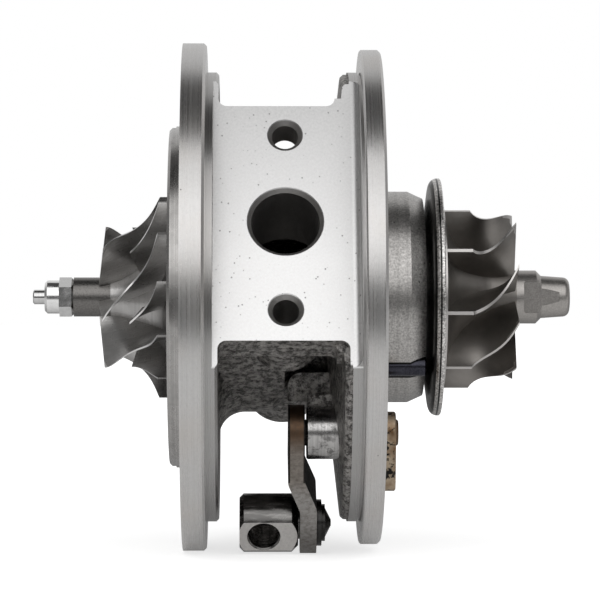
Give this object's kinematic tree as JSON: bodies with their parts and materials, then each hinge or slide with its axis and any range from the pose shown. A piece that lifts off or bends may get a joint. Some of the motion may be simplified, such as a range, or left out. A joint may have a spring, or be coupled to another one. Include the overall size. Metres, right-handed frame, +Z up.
{
  "type": "turbo cartridge",
  "caption": "Turbocharger cartridge: twin-flange cast bearing housing with oil drain pad, compressor and turbine wheels on one shaft, and a vane lever with swivel",
  "frame": {"origin": "on the rotor axis, at the outer face of the compressor flange", "axes": "+X along the rotor axis from compressor to turbine, drain pad towards -Y and a little up, +Z up with the lever hanging below"},
  "size_m": [0.126, 0.119, 0.119],
  "materials": {
    "cast_housing": "rough sand casting, with turned and brushed rims, nose and milled pad",
    "machined_steel": "fine turned",
    "dark_steel": "dark polished, light oil film",
    "seal_rubber": "smooth black",
    "bearing_bronze": "fine turned",
    "shield_steel": "pressed sheet, bright rim",
    "blued_steel": "blue black",
    "bush_steel": "ground, a little mottled",
    "bright_steel": "bright turned",
    "milled_aluminium": "satin, bright blade edges",
    "cast_nickel": "fine investment casting, grey brown, bright blade edges",
    "heat_tinted_steel": "brown heat tint that fades to grey"
  },
  "bodies": {
    "housing": {"bearing_housing": "cast_housing", "seal_plate": "machined_steel", "seal_plate_screws": "dark_steel", "seal_plate_o_ring": "seal_rubber", "thrust_bearing": "bearing_bronze", "thrust_bearing_screws": "dark_steel", "oil_deflector": "machined_steel", "bearing_circlips": "dark_steel", "compressor_piston_ring": "dark_steel", "turbine_piston_ring": "dark_steel", "heat_shield": "shield_steel", "locating_pin": "blued_steel", "lever_bush": "bush_steel"},
    "rotor": {"rotor_shaft": "bright_steel", "oil_flinger": "machined_steel", "thrust_collar": "machined_steel", "shaft_nut": "bright_steel", "compressor_wheel": "milled_aluminium", "turbine_wheel": "cast_nickel"},
    "compressor_bush": {"journal_bearing_compressor": "bearing_bronze"},
    "turbine_bush": {"journal_bearing_turbine": "bearing_bronze"},
    "lever": {"lever_arm": "heat_tinted_steel", "lever_spindle": "heat_tinted_steel", "inner_crank": "heat_tinted_steel"},
    "swivel": {"swivel_block": "dark_steel", "swivel_washer": "dark_steel", "swivel_lock_washer": "dark_steel", "swivel_pin": "dark_steel"}
  },
  "joints": [
    {"name": "rotor_spin", "type": "hinge", "parent": "housing", "child": "rotor", "pos_m": [0.0236, 0, 0], "axis": [1, 0, 0], "continuous": true},
    {"name": "compressor_bush_spin", "type": "hinge", "parent": "housing", "child": "compressor_bush", "pos_m": [0.0165, 0, 0], "axis": [1, 0, 0], "continuous": true},
    {"name": "turbine_bush_spin", "type": "hinge", "parent": "housing", "child": "turbine_bush", "pos_m": [0.0415, 0, 0], "axis": [1, 0, 0], "continuous": true},
    {"name": "lever_swing", "type": "hinge", "parent": "housing", "child": "lever", "pos_m": [0.0373, -0.022, -0.031], "axis": [1, 0, 0], "range_deg": [-25, 18]},
    {"name": "swivel_turn", "type": "hinge", "parent": "lever", "child": "swivel", "pos_m": [0.0263, -0.01115, -0.0523], "axis": [1, 0, 0], "continuous": true}
  ]
}
